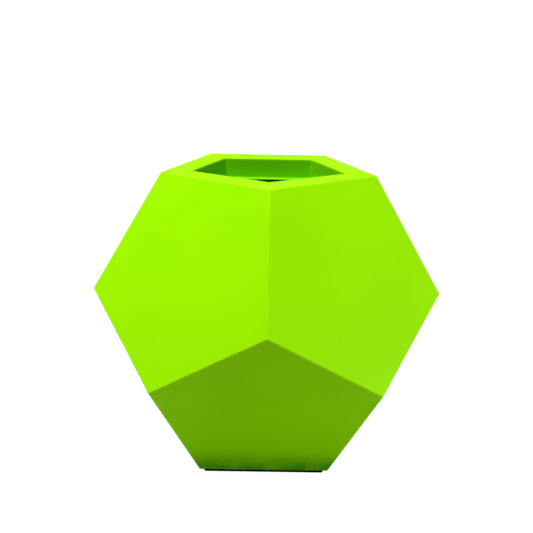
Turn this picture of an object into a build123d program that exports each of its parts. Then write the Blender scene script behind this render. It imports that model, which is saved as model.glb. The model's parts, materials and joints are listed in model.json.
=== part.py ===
from build123d import *
from math import atan, cos, pi, radians, sin, tan
import os

# A faceted planter: a hollow twelve-faced shell on five glide strips, with a lift-out liner and a drain plug.
# Millimetres, +Z up. The origin is on the floor under the middle of the base. One corner of the rim points
# forwards, towards -Y, where the base has a flat side.

# The faceted form: a dodecahedron whose rim and base stand 1 % further out than its ten sloping faces.
sides = 5
facet_distance = 256.0          # middle of the form to each sloping face
shell_height = 517.0            # base to rim
facet_lean = atan(0.5)          # sloping faces from the vertical, as in any dodecahedron
facet_edge_radius = 2.5
wall = 5.0

# The well in the rim: five drafted walls down to a level ledge around the liner's opening. The well, and all
# that fits inside it, is a little shorter from front to back than a regular five-sided form.
well_apothem = 115.0            # at the rim, before the shortening
well_shortening = 0.94
well_depth = 36.2
well_draft = radians(5)
well_corner_radius = 4.0
rim_edge_radius = 3.0
ledge_width = 23.5

# The glide strips, one under each side of the base, with two screws in each.
strip_stand = 6.0               # height of the base above the floor
strip_seat = 1.5                # depth let into the base
strip_length = 221.0            # along its outer side, before its corners are rounded
strip_width = 20.0
strip_inset = 3.0               # from the base's edge to the strip
strip_corner_radius = 4.0
strip_chamfer = 0.6
screw_spacing = 130.0
screw_radius = 2.0
screw_clearance = 0.3
screw_head_radius = 4.0
screw_head_height = 2.0
screw_recess = 1.0              # screw head above the floor
screw_depth = 13.0              # into the base and its boss
socket_radius = 1.5
socket_depth = 1.2
boss_radius = 7.0
boss_height = 11.0

# The liner, which hangs in the ledge's opening by its flange. The flange lies in a seat, level with the
# ledge.
opening_corner_radius = 10.0
flange_overlap = 8.0            # of the seat that the flange lies on
flange_clearance = 1.0
flange_thickness = 3.0
flange_edge_radius = 1.0
liner_clearance = 1.2
liner_wall = 2.5
liner_corner_radius = 9.0
liner_depth = 300.0             # below its flange
liner_draft = radians(4)
grip_length = 62.0
grip_height = 20.0
grip_drop = 24.0                # ledge to the middle of each hand grip
grip_directions = (19, 161)     # degrees from +X: square to the liner's two rear side walls
liner_hole_radius = 5.0
liner_hole_circle = 32.0

# The drain plug in the middle of the base, pulled up from inside.
drain_radius = 16.0
plug_clearance = 0.3
plug_flange_radius = 23.0
plug_flange_thickness = 4.0
plug_edge_radius = 1.0
seal_radius = 21.0
seal_thickness = 1.5
pull_ring_radius = 12.0
pull_ring_hole = 7.0
pull_ring_thickness = 6.0
pull_ring_foot = 2.0            # how far the ring runs down into the flange

# Levels and sizes that follow.
front = -90                     # the direction of -Y, in degrees from +X
floor_level = strip_stand + wall
rim_level = strip_stand + shell_height
middle_level = strip_stand + shell_height / 2
ledge_level = rim_level - well_depth
base_apothem = (facet_distance - shell_height / 2 * sin(facet_lean)) / cos(facet_lean)
ledge_apothem = well_apothem - well_depth * tan(well_draft)
seat_level = ledge_level - flange_thickness
seat_apothem = ledge_apothem - ledge_width
flange_apothem = seat_apothem - flange_clearance
opening_apothem = seat_apothem - flange_overlap
liner_apothem = opening_apothem - liner_clearance
liner_level = seat_level - liner_depth
liner_floor_apothem = liner_apothem - liner_depth * tan(liner_draft)
strip_line = base_apothem - strip_inset - strip_width / 2
strip_mitre = 90 - 180 / sides  # degrees
plug_radius = drain_radius - plug_clearance
plug_flange_level = floor_level + seal_thickness


def faceted_form(distance, height):
    """Two five-sided cups, one upside down, cut down to the space that they share."""
    end_apothem = (distance - height / 2 * sin(facet_lean)) / cos(facet_lean)
    mouth_apothem = end_apothem + height * tan(facet_lean)
    base = Plane(origin=(0, 0, middle_level - height / 2))
    rim = Plane(origin=(0, 0, middle_level + height / 2), x_dir=(1, 0, 0), z_dir=(0, 0, -1))
    with BuildPart() as form:
        for end, mode in ((base, Mode.ADD), (rim, Mode.INTERSECT)):
            with BuildSketch(end):
                RegularPolygon(end_apothem, sides, major_radius=False, rotation=-front)
            with BuildSketch(end.offset(height)):
                RegularPolygon(mouth_apothem, sides, major_radius=False, rotation=-front)
            loft(ruled=True, mode=mode)
    return form.part


def well_outline(level, apothem, corner_radius):
    """A level five-sided face in the well's proportions, with a corner to the front and rounded corners."""
    reach = apothem / cos(pi / sides)
    corners = [Vector(reach, 0).rotate(Axis.Z, front + corner * 360 / sides) for corner in range(sides)]
    with BuildSketch(Plane.XY.offset(level)) as outline:
        Polygon(*[(corner.X, corner.Y * well_shortening) for corner in corners], align=None)
        fillet(outline.vertices(), corner_radius)
    return outline.sketch


def strip_outline(strip):
    """One strip's outline: its ends are mitred towards the strips beside it, and its corners are rounded."""
    with BuildSketch() as outline:
        with PolarLocations(strip_line, 1, start_angle=front + strip * 360 / sides):
            Trapezoid(strip_length, strip_width, strip_mitre, rotation=90)
        fillet(outline.vertices(), strip_corner_radius)
    return outline.sketch


def screw_places(strip):
    """The places of one strip's two screws."""
    middle = PolarLocations(strip_line, 1, start_angle=front + strip * 360 / sides).locations[0]
    return [middle * Pos(0, offset) for offset in (-screw_spacing / 2, screw_spacing / 2)]


def finish(piece, name):
    """Label a finished piece and write its file."""
    piece.part.label = name
    export_step(piece.part, f"parts/{name}.step")


os.makedirs("parts", exist_ok=True)
all_screw_places = [place for strip in range(sides) for place in screw_places(strip)]

# Shell: one hollow moulding. Its cavity is everything within the walls, but for the walls around the well.
with BuildPart() as cavity:
    add(faceted_form(facet_distance - wall, shell_height - 2 * wall))
    well_housing = [
        well_outline(rim_level, well_apothem + wall, well_corner_radius + wall),
        well_outline(ledge_level - wall, ledge_apothem + wall, well_corner_radius + wall),
    ]
    loft(well_housing, mode=Mode.SUBTRACT)
    extrude(
        well_outline(ledge_level - wall, seat_apothem + wall, opening_corner_radius + wall),
        amount=-flange_thickness,
        mode=Mode.SUBTRACT,
    )

with BuildPart() as shell:
    add(faceted_form(facet_distance, shell_height))
    fillet(shell.edges(), facet_edge_radius)
    add(cavity.part, mode=Mode.SUBTRACT)
    well = [
        well_outline(rim_level, well_apothem, well_corner_radius),
        well_outline(ledge_level, ledge_apothem, well_corner_radius),
    ]
    loft(well, mode=Mode.SUBTRACT)
    rim_face = shell.faces().filter_by(Plane.XY).sort_by(Axis.Z)[-1]
    fillet(rim_face.inner_wires()[0].edges(), rim_edge_radius)
    extrude(
        well_outline(ledge_level, seat_apothem, opening_corner_radius),
        amount=-flange_thickness,
        mode=Mode.SUBTRACT,
    )
    extrude(
        well_outline(seat_level, opening_apothem, opening_corner_radius),
        amount=-wall,
        mode=Mode.SUBTRACT,
    )
    # Drain hole, seats for the strips, and bosses for their screws
    with BuildSketch(Plane.XY.offset(strip_stand)):
        Circle(drain_radius)
    extrude(amount=wall, mode=Mode.SUBTRACT)
    with BuildSketch(Plane.XY.offset(strip_stand)):
        for strip in range(sides):
            add(strip_outline(strip))
    extrude(amount=strip_seat, mode=Mode.SUBTRACT)
    with BuildSketch(Plane.XY.offset(floor_level)):
        with Locations(all_screw_places):
            Circle(boss_radius)
    extrude(amount=boss_height)
    with BuildSketch(Plane.XY.offset(strip_stand)):
        with Locations(all_screw_places):
            Circle(screw_radius)
    extrude(amount=screw_depth, mode=Mode.SUBTRACT)
finish(shell, "shell")

# Glide strips, counted anticlockwise seen from above, from the front one
for number in range(sides):
    with BuildPart() as strip:
        extrude(strip_outline(number), amount=strip_stand + strip_seat)
        chamfer(strip.faces().sort_by(Axis.Z)[0].edges(), strip_chamfer)
        with BuildSketch(Plane.XY):
            with Locations(screw_places(number)):
                Circle(screw_head_radius + screw_clearance)
        extrude(amount=screw_recess + screw_head_height, mode=Mode.SUBTRACT)
        with BuildSketch(Plane.XY):
            with Locations(screw_places(number)):
                Circle(screw_radius + screw_clearance)
        extrude(amount=strip_stand + strip_seat, mode=Mode.SUBTRACT)
    finish(strip, f"glide_strip_{number + 1}")

# Glide screws: all of them are one node, each its own solid
with BuildPart() as glide_screws:
    with BuildSketch(Plane.XY.offset(screw_recess)):
        with Locations(all_screw_places):
            Circle(screw_head_radius)
    extrude(amount=screw_head_height)
    with BuildSketch(Plane.XY.offset(screw_recess)):
        with Locations(all_screw_places):
            Circle(screw_radius)
    extrude(amount=strip_stand - screw_recess + screw_depth)
    with BuildSketch(Plane.XY.offset(screw_recess)):
        with Locations(all_screw_places):
            RegularPolygon(socket_radius, 6)
    extrude(amount=socket_depth, mode=Mode.SUBTRACT)
finish(glide_screws, "glide_screws")

# Liner: a drafted five-sided bucket with a flange, hand grips and drain holes
with BuildPart() as liner:
    bucket = [
        well_outline(seat_level, liner_apothem, liner_corner_radius),
        well_outline(liner_level, liner_floor_apothem, liner_corner_radius),
    ]
    loft(bucket)
    extrude(well_outline(seat_level, flange_apothem, opening_corner_radius), amount=flange_thickness)
    fillet(liner.faces().sort_by(Axis.Z)[-1].edges(), flange_edge_radius)
    hollow = [
        well_outline(ledge_level, liner_apothem - liner_wall, liner_corner_radius),
        well_outline(liner_level + liner_wall, liner_floor_apothem - liner_wall, liner_corner_radius),
    ]
    loft(hollow, mode=Mode.SUBTRACT)
    for direction in grip_directions:
        outwards = Vector(1, 0, 0).rotate(Axis.Z, direction)
        across = outwards.cross(Vector(0, 0, 1))
        with BuildSketch(Plane((0, 0, ledge_level - grip_drop), x_dir=across, z_dir=outwards)):
            SlotOverall(grip_length, grip_height)
        extrude(amount=flange_apothem, mode=Mode.SUBTRACT)
    with BuildSketch(Plane.XY.offset(liner_level)):
        Circle(liner_hole_radius)
        with PolarLocations(liner_hole_circle, sides, start_angle=front):
            Circle(liner_hole_radius)
    extrude(amount=liner_wall, mode=Mode.SUBTRACT)
finish(liner, "liner")

# Drain plug: a stopper with a flange and an upright pull ring
with BuildPart() as drain_plug:
    with BuildSketch(Plane.XY.offset(strip_stand + plug_clearance)):
        Circle(plug_radius)
    extrude(amount=plug_flange_level - strip_stand - plug_clearance)
    with BuildSketch(Plane.XY.offset(plug_flange_level)):
        Circle(plug_flange_radius)
    extrude(amount=plug_flange_thickness)
    fillet(drain_plug.faces().sort_by(Axis.Z)[-1].edges(), plug_edge_radius)
    with BuildSketch(Plane.XZ) as ring_outline:
        with Locations((0, plug_flange_level + plug_flange_thickness - pull_ring_foot + pull_ring_radius)):
            Circle(pull_ring_radius)
            Circle(pull_ring_hole, mode=Mode.SUBTRACT)
    extrude(amount=pull_ring_thickness / 2, both=True)
finish(drain_plug, "drain_plug")

# Seal: a flat rubber ring under the plug's flange
with BuildPart() as plug_seal:
    with BuildSketch(Plane.XY.offset(floor_level)):
        Circle(seal_radius)
        Circle(plug_radius, mode=Mode.SUBTRACT)
    extrude(amount=seal_thickness)
finish(plug_seal, "plug_seal")
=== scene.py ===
import bpy
import bmesh
import json
import math
from mathutils import Euler, Matrix, Vector


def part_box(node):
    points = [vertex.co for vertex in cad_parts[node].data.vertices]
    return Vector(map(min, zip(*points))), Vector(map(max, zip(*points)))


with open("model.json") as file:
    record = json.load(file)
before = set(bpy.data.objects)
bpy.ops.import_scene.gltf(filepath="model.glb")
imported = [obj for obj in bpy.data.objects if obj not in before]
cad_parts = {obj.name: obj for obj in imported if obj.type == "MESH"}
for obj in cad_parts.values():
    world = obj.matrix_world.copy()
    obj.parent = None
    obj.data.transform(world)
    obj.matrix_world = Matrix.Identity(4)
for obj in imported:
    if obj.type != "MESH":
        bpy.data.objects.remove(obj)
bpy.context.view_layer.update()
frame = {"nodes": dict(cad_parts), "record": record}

# A lime-green faceted planter with a black liner, in metres. It stands on z = 0, and a corner of its rim
# points towards -Y.

# Camera: it looks at the shell's middle, then turns a little off it. Degrees, and millimetres for the lens.
camera_distance = 1.403
camera_elevation = 20.164
camera_azimuth = -0.521
camera_turn = (2.89, 0.023, 1.141)      # pitch, yaw and roll away from the shell's middle
camera_lens = 50.13
camera_sensor = 36.0

# Soft boxes that face the shell's middle: azimuth from the front towards +X, elevation, distance, width and
# watts.
soft_boxes = {
    "overhead": (-60, 82, 2.6, 0.6, 90),
    "left": (-76, -2, 2.8, 1.2, 43),
    "right": (70, -2, 2.8, 1.2, 32),
    "front_right": (45, 0, 2.6, 1.2, 11),
    "rear": (180, 25, 2.8, 2.0, 20),
    "under": (0, -85, 2.6, 1.2, 5),     # shows the base in views from below
}
boxes_without_gloss = ("rear", "left", "under")     # so that their reflections don't whiten the shell
dome_strength = 0.04

# Stage: sizes in metres, and how brightly the floor glows
backdrop_radius = 25.0
backdrop_subdivisions = 3
floor_width = 60.0
floor_glow = (0.97, 1.0)                # under the object, where its shadow falls, and away from it
floor_glow_range = (0.5, 1.6)           # distances from the object's middle for those
bounce_width = 1.2                      # of the card that throws light up onto the lower faces
bounce_depth = 0.0005                   # of the card under the floor that is seen
stage_roughness = 1.0

# Colours, linear
lime = (0.312, 0.820, 0.0)
lime_deep = (0.290, 0.782, 0.0)
lime_fleck = (0.340, 0.860, 0.0)
lime_worn = (0.380, 0.880, 0.004)
lime_foot_shade = (0.030, 0.310, 0.0)       # painted shade: darkens the shell towards the floor
lime_well_shade = (0.135, 0.560, 0.0)      # painted shade inside the well
lime_sheen = (0.3, 1.0, 0.0)
liner_black = (0.003, 0.003, 0.003)
liner_dusty = (0.010, 0.010, 0.009)
plug_black = (0.020, 0.020, 0.021)
plug_worn = (0.045, 0.045, 0.047)
rubber_black = (0.0012, 0.0012, 0.0012)
rubber_worn = (0.005, 0.005, 0.005)
zinc = (0.62, 0.62, 0.60)
zinc_dull = (0.42, 0.42, 0.43)
floor_grey = (0.3, 0.3, 0.3)            # beneath its glow
bounce_grey = (0.3, 0.3, 0.3)
white = (1.0, 1.0, 1.0)

# Surfaces, in metres: the length over which an unevenness repeats, and its depth where it is raised. A
# stretch is along X, Y and Z. A pair of shares or roughnesses is for the least and the most of what it
# follows.
noise_usual = (0.3, 0.7)                # the part of a noise's range that such a pair is spread over
noise_patchy = (0.4, 0.7)
noise_detail = 2.0
patch_detail = 4
rub_detail = 5

shell_sheen = 0.15
shell_cloud = 0.180
shell_rub = 0.030
shell_rub_stretch = (1, 1, 3)
shell_ripple = 0.045
shell_ripple_detail = 1
ripple_depth = 0.00015
shell_peel = 0.0035
peel_depth = 0.00002
shell_grain = 0.0006
grain_depth = 0.000004
shell_fleck_shares = (0, 0.2)           # of the flecks' colour
shell_edge_reach = 0.004                # from the next face's plane to where an edge's wear ends
shell_wear = (0.2, 1)                   # how far rubbing wears the edges, where it is least and most
shell_wear_shares = (0, 0.8)            # of the worn colour
foot_shade_height = 0.060                      # height at which the painted shade at the base ends
foot_shade_shares = (0.5, 0.9)          # of the painted shade's colour at the foot, made patchy by the rubbing noise
well_lip = (0.001, 0.006)               # depths below the rim between which the well's painted shade starts
well_reach = (0.138, 0.150)             # distances from the middle between which it ends
well_shade_shares = (0.8, 1)                  # of the well's painted shade
shell_roughness = (0.38, 0.50)
shell_wear_roughness = (0, 0.10)        # added to that

liner_sheen = 0.25
liner_cloud = 0.060
liner_grain = 0.0018                    # width of its leathery cells
liner_grain_range = (0, 0.8)            # of distances from a cell's middle, in such widths
liner_grain_depth = 0.00012
liner_dust_shares = (0.1, 0.5)          # on a wall, and where it faces up
liner_roughness = (0.42, 0.56)
liner_dust_roughness = (0, 0.2)         # added to that
liner_dust_range = (0, 0.5)             # of the dust, from none, over which that is added

plug_sheen = 0.5
plug_rub = 0.008
plug_roughness = (0.34, 0.55)

rubber_sheen = 0.1
rubber_pit = 0.0009
rubber_pit_detail = 3
rubber_pit_depth = 0.00005
rubber_scuff = 0.012
rubber_scuff_stretch = (3, 3, 1)
rubber_scuff_range = (0.45, 0.7)
rubber_scuff_shares = (0, 0.7)
rubber_roughness = (0.68, 0.85)

screw_patch = 0.002
screw_grain = 0.0002
screw_grain_detail = 3
screw_grain_stretch = (1, 4, 1)
screw_grain_depth = 0.000005
screw_roughness = (0.26, 0.42)

# The twelve faces of the shell, as in any dodecahedron
face_sides = 5
face_lean = math.degrees(math.atan(0.5))    # of the ten sloping faces' outward directions from level


def middle(node):
    """The middle of a CAD node's box."""
    low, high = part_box(node)
    return (low + high) / 2


def direction(azimuth, elevation):
    """A unit vector: azimuth in degrees from the front towards +X, elevation in degrees above level."""
    across = math.radians(azimuth)
    up = math.radians(elevation)
    return Vector((math.sin(across) * math.cos(up), -math.cos(across) * math.cos(up), math.sin(up)))


def add_object(name, data):
    """Link a new object into the scene."""
    thing = bpy.data.objects.new(name, data)
    bpy.context.scene.collection.objects.link(thing)
    return thing


# Camera and lights

def add_camera():
    """A camera that looks down at the shell's front corner."""
    back = direction(camera_azimuth, camera_elevation)
    right = direction(camera_azimuth + 90, 0)
    level = Matrix((right, back.cross(right), back)).transposed()
    turn = Euler([math.radians(angle) for angle in camera_turn], "ZXY")
    place = middle("shell") + back * camera_distance
    camera = add_object("camera", bpy.data.cameras.new("camera"))
    camera.data.lens = camera_lens
    camera.data.sensor_width = camera_sensor
    camera.matrix_world = Matrix.Translation(place) @ (level @ turn.to_matrix()).to_4x4()
    bpy.context.scene.camera = camera


def add_soft_box(name, azimuth, elevation, distance, width, watts):
    """A square soft box that faces the shell's middle."""
    way = direction(azimuth, elevation)
    light = add_object(name, bpy.data.lights.new(name, "AREA"))
    light.data.shape = "SQUARE"
    light.data.size = width
    light.data.energy = watts
    light.location = middle("shell") + way * distance
    light.rotation_euler = way.to_track_quat("Z", "Y").to_euler()
    light.visible_glossy = name not in boxes_without_gloss


def add_dome():
    """Weak light from all round."""
    world = bpy.data.worlds.new("dome")
    world.use_nodes = True
    sky = world.node_tree.nodes["Background"]
    sky.inputs["Color"].default_value = (1, 1, 1, 1)
    sky.inputs["Strength"].default_value = dome_strength
    world.cycles_visibility.glossy = False
    bpy.context.scene.world = world


# Materials

class Look:
    """A material under construction: its nodes, its shader, and places in the object's own metres."""

    def __init__(self, name, **settings):
        self.material = bpy.data.materials.new(name)
        self.material.use_nodes = True
        self.nodes = self.material.node_tree.nodes
        self.shader = self.nodes["Principled BSDF"]
        self.place = self.nodes.new("ShaderNodeTexCoord").outputs["Object"]
        for socket, value in settings.items():
            self.feed(self.shader.inputs[socket.replace("_", " ")], value)

    def feed(self, socket, value):
        """Set a socket to a plain value, or link it to another node's socket."""
        if isinstance(value, bpy.types.NodeSocket):
            self.material.node_tree.links.new(value, socket)
        elif socket.type == "RGBA":
            socket.default_value = (*value, 1)
        else:
            socket.default_value = value

    def add(self, kind, inputs, **settings):
        """Add a node, and return it with its settings made and its inputs fed."""
        node = self.nodes.new(kind)
        for name, value in settings.items():
            setattr(node, name, value)
        for socket, value in inputs.items():
            self.feed(node.inputs[socket], value)
        return node

    def noise(self, length, detail=noise_detail, stretch=(1, 1, 1)):
        """Noise that repeats about once in a length, stretched along the axes if asked."""
        places = self.add("ShaderNodeVectorMath", {0: self.place, 1: Vector(stretch)}, operation="DIVIDE")
        noise = self.add(
            "ShaderNodeTexNoise",
            {"Vector": places.outputs[0], "Scale": 1 / length, "Detail": detail},
        )
        return noise.outputs["Fac"]

    def spread(self, value, results=(0, 1), limits=noise_usual):
        """A value that goes smoothly from one result to the other between the given value's limits."""
        low, high = limits
        least, most = results
        spread = self.add(
            "ShaderNodeMapRange",
            {"Value": value, "From Min": low, "From Max": high, "To Min": least, "To Max": most},
            interpolation_type="SMOOTHSTEP",
        )
        return spread.outputs["Result"]

    def combine(self, first, second, operation="ADD"):
        """Two values added, or put together with another operation."""
        return self.add("ShaderNodeMath", {0: first, 1: second}, operation=operation).outputs[0]

    def mix(self, share, first, second):
        """A colour between two, by share."""
        return self.add("ShaderNodeMix", {0: share, 6: first, 7: second}, data_type="RGBA").outputs[2]

    def cells(self, length):
        """Distance from the middle of irregular cells of about this length."""
        cells = self.add("ShaderNodeTexVoronoi", {"Vector": self.place, "Scale": 1 / length})
        return cells.outputs["Distance"]

    def height(self):
        """Height above the floor, in metres."""
        return self.add("ShaderNodeSeparateXYZ", {0: self.place}).outputs["Z"]

    def reach(self):
        """Level distance from the object's middle line, in metres."""
        level = self.add("ShaderNodeVectorMath", {0: self.place, 1: (1, 1, 0)}, operation="MULTIPLY")
        return self.add("ShaderNodeVectorMath", {0: level.outputs[0]}, operation="LENGTH").outputs["Value"]

    def upness(self):
        """How far the surface faces up: 1 on a level top, 0 on a wall, -1 underneath."""
        normal = self.add("ShaderNodeNewGeometry", {}).outputs["Normal"]
        return self.add("ShaderNodeSeparateXYZ", {0: normal}).outputs["Z"]

    def emboss(self, value, depth):
        """Raise the surface by a value times a depth in metres, on top of what is embossed already."""
        normal = self.shader.inputs["Normal"]
        under = {"Normal": normal.links[0].from_socket} if normal.is_linked else {}
        bump = self.add("ShaderNodeBump", {"Height": value, "Distance": depth, **under})
        self.feed(normal, bump.outputs["Normal"])

    def finish(self, colour, roughness):
        """Give the shader its colour and roughness, and return the material."""
        self.feed(self.shader.inputs["Base Color"], colour)
        self.feed(self.shader.inputs["Roughness"], roughness)
        return self.material


def facet_directions():
    """Outward directions of a dodecahedron's twelve faces, with a corner of the top face to the front."""
    upper = [direction(180 + turn * 360 / face_sides, face_lean) for turn in range(face_sides)]
    return [Vector((0, 0, 1)), Vector((0, 0, -1))] + upper + [-way for way in upper]


def edge_nearness(look, node, reach):
    """0 on a node's flat faces, rising to 1 at their edges, within a reach of the next face's plane."""
    corners = [vertex.co for vertex in frame["nodes"][node].data.vertices]
    nearness = -1.0                     # so that a point on one face alone comes to 0
    for way in facet_directions():
        face = max(corner.dot(way) for corner in corners)
        out = look.add("ShaderNodeVectorMath", {0: look.place, 1: way}, operation="DOT_PRODUCT")
        nearness = look.combine(nearness, look.spread(out.outputs["Value"], limits=(face - reach, face)))
    return nearness


def inside_well(look):
    """1 on the shell's well, 0 on its rim and outer faces."""
    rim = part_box("shell")[1].z
    near, far = well_lip
    below_rim = look.spread(look.height(), (1, 0), (rim - far, rim - near))
    return look.combine(below_rim, look.spread(look.reach(), (1, 0), well_reach), "MULTIPLY")


def shell_look():
    """Satin lime plastic: cloudy, rippled, with orange peel, paler worn edges, and painted shade at the foot
    and in the well.
    """
    look = Look("lime_plastic", Specular_IOR_Level=shell_sheen, Specular_Tint=lime_sheen)
    cloud = look.spread(look.noise(shell_cloud))
    peel = look.noise(shell_peel)
    grain = look.noise(shell_grain)
    rub = look.noise(shell_rub, rub_detail, shell_rub_stretch)
    edge = edge_nearness(look, "shell", shell_edge_reach)
    worn = look.combine(edge, look.spread(rub, shell_wear), "MULTIPLY")
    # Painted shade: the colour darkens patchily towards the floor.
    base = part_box("shell")[0].z
    foot = look.spread(look.height(), (1, 0), (base, base + foot_shade_height))
    painted_foot_shade = look.combine(foot, look.spread(rub, foot_shade_shares), "MULTIPLY")
    # Painted shade: a darker green on the well's walls.
    painted_well_shade = look.combine(inside_well(look), look.spread(cloud, well_shade_shares, (0, 1)), "MULTIPLY")
    colour = look.mix(cloud, lime_deep, lime)
    colour = look.mix(look.spread(grain, shell_fleck_shares), colour, lime_fleck)
    colour = look.mix(look.spread(worn, shell_wear_shares, (0, 1)), colour, lime_worn)
    colour = look.mix(painted_foot_shade, colour, lime_foot_shade)
    colour = look.mix(painted_well_shade, colour, lime_well_shade)
    look.emboss(look.noise(shell_ripple, shell_ripple_detail), ripple_depth)
    look.emboss(peel, peel_depth)
    look.emboss(grain, grain_depth)
    rough = look.spread(rub, shell_roughness)
    return look.finish(colour, look.combine(rough, look.spread(worn, shell_wear_roughness, (0, 1))))


def liner_look():
    """Black plastic with a fine leather grain and a little dust where it faces up."""
    look = Look("liner_plastic", Specular_IOR_Level=liner_sheen)
    cells = look.cells(liner_grain)
    dust = look.spread(look.noise(liner_cloud, patch_detail), limits=noise_patchy)
    lying = look.combine(dust, look.spread(look.upness(), liner_dust_shares, (0, 1)), "MULTIPLY")
    look.emboss(cells, liner_grain_depth)
    look.emboss(look.noise(liner_cloud), ripple_depth)
    rough = look.spread(cells, liner_roughness, liner_grain_range)
    dusty_rough = look.spread(lying, liner_dust_roughness, liner_dust_range)
    return look.finish(look.mix(lying, liner_black, liner_dusty), look.combine(rough, dusty_rough))


def plug_look():
    """Smooth black plastic, rubbed paler and duller in places."""
    look = Look("plug_plastic", Specular_IOR_Level=plug_sheen)
    rub = look.spread(look.noise(plug_rub, rub_detail), limits=noise_patchy)
    look.emboss(look.noise(shell_peel), peel_depth)
    look.emboss(look.noise(shell_grain), grain_depth)
    return look.finish(look.mix(rub, plug_black, plug_worn), look.spread(rub, plug_roughness, (0, 1)))


def rubber_look(name):
    """Matt black rubber with a pitted surface and greyer scuffs."""
    look = Look(name, Specular_IOR_Level=rubber_sheen)
    pits = look.noise(rubber_pit, rubber_pit_detail)
    scuffs = look.noise(rubber_scuff, rub_detail, rubber_scuff_stretch)
    scuff = look.spread(scuffs, rubber_scuff_shares, rubber_scuff_range)
    look.emboss(pits, rubber_pit_depth)
    return look.finish(look.mix(scuff, rubber_black, rubber_worn), look.spread(pits, rubber_roughness))


def screw_look():
    """Zinc-plated steel with a fine turned grain and duller patches."""
    look = Look("screw_steel", Metallic=1.0)
    patch = look.spread(look.noise(screw_patch, patch_detail))
    look.emboss(look.noise(screw_grain, screw_grain_detail, screw_grain_stretch), screw_grain_depth)
    return look.finish(look.mix(patch, zinc, zinc_dull), look.spread(patch, screw_roughness, (0, 1)))


def dress_nodes():
    """Give every CAD node the look of its material slot."""
    looks = {
        "shell_plastic": shell_look(),
        "liner_plastic": liner_look(),
        "plug_plastic": plug_look(),
        "seal_rubber": rubber_look("seal_rubber"),
        "strip_rubber": rubber_look("strip_rubber"),
        "screw_steel": screw_look(),
    }
    for part in frame["record"]["subparts"]:
        node = frame["nodes"][part["node"]]
        node.data.materials.clear()
        node.data.materials.append(looks[part["material_slot"]])


# Stage

def add_sheet(name, width, height):
    """A level square sheet, centred under the object."""
    half = width / 2
    mesh = bpy.data.meshes.new(name)
    mesh.from_pydata(
        [(-half, -half, height), (half, -half, height), (half, half, height), (-half, half, height)],
        [],
        [(0, 1, 2, 3)],
    )
    return add_object(name, mesh)


def add_floor():
    """A pale floor that only the camera sees, from above. It glows, so the shadow on it stays faint."""
    floor = add_sheet("floor", floor_width, 0)
    look = Look("floor", Specular_IOR_Level=0.0, Emission_Color=white)
    distance = look.add("ShaderNodeVectorMath", {0: look.place}, operation="LENGTH").outputs["Value"]
    look.feed(look.shader.inputs["Emission Strength"], look.spread(distance, floor_glow, floor_glow_range))
    floor.data.materials.append(look.finish(floor_grey, stage_roughness))
    underside = look.add("ShaderNodeNewGeometry", {}).outputs["Backfacing"]
    clear = look.add("ShaderNodeBsdfTransparent", {}).outputs["BSDF"]
    surface = look.add("ShaderNodeMixShader", {0: underside, 1: look.shader.outputs["BSDF"], 2: clear})
    look.feed(look.nodes["Material Output"].inputs["Surface"], surface.outputs["Shader"])
    floor.visible_diffuse = False
    floor.visible_glossy = False
    floor.visible_shadow = False


def add_bounce():
    """A card that the camera doesn't see and that casts no shadow. It throws light up onto the object."""
    bounce = add_sheet("bounce", bounce_width, -bounce_depth)
    look = Look("bounce", Specular_IOR_Level=0.0)
    bounce.data.materials.append(look.finish(bounce_grey, stage_roughness))
    bounce.visible_camera = False
    bounce.visible_shadow = False


def add_backdrop():
    """A white ball around the scene that only the camera sees."""
    mesh = bpy.data.meshes.new("backdrop")
    ball = bmesh.new()
    bmesh.ops.create_icosphere(ball, subdivisions=backdrop_subdivisions, radius=backdrop_radius)
    ball.to_mesh(mesh)
    ball.free()
    backdrop = add_object("backdrop", mesh)
    look = Look("backdrop", Specular_IOR_Level=0.0, Emission_Color=white, Emission_Strength=1.0)
    backdrop.data.materials.append(look.finish(white, stage_roughness))
    backdrop.visible_diffuse = False
    backdrop.visible_glossy = False
    backdrop.visible_shadow = False


add_camera()
for name, box in soft_boxes.items():
    add_soft_box(name, *box)
add_dome()
add_floor()
add_bounce()
add_backdrop()
dress_nodes()
bpy.context.scene.view_settings.view_transform = "Standard"
bpy.context.scene.view_settings.look = "None"
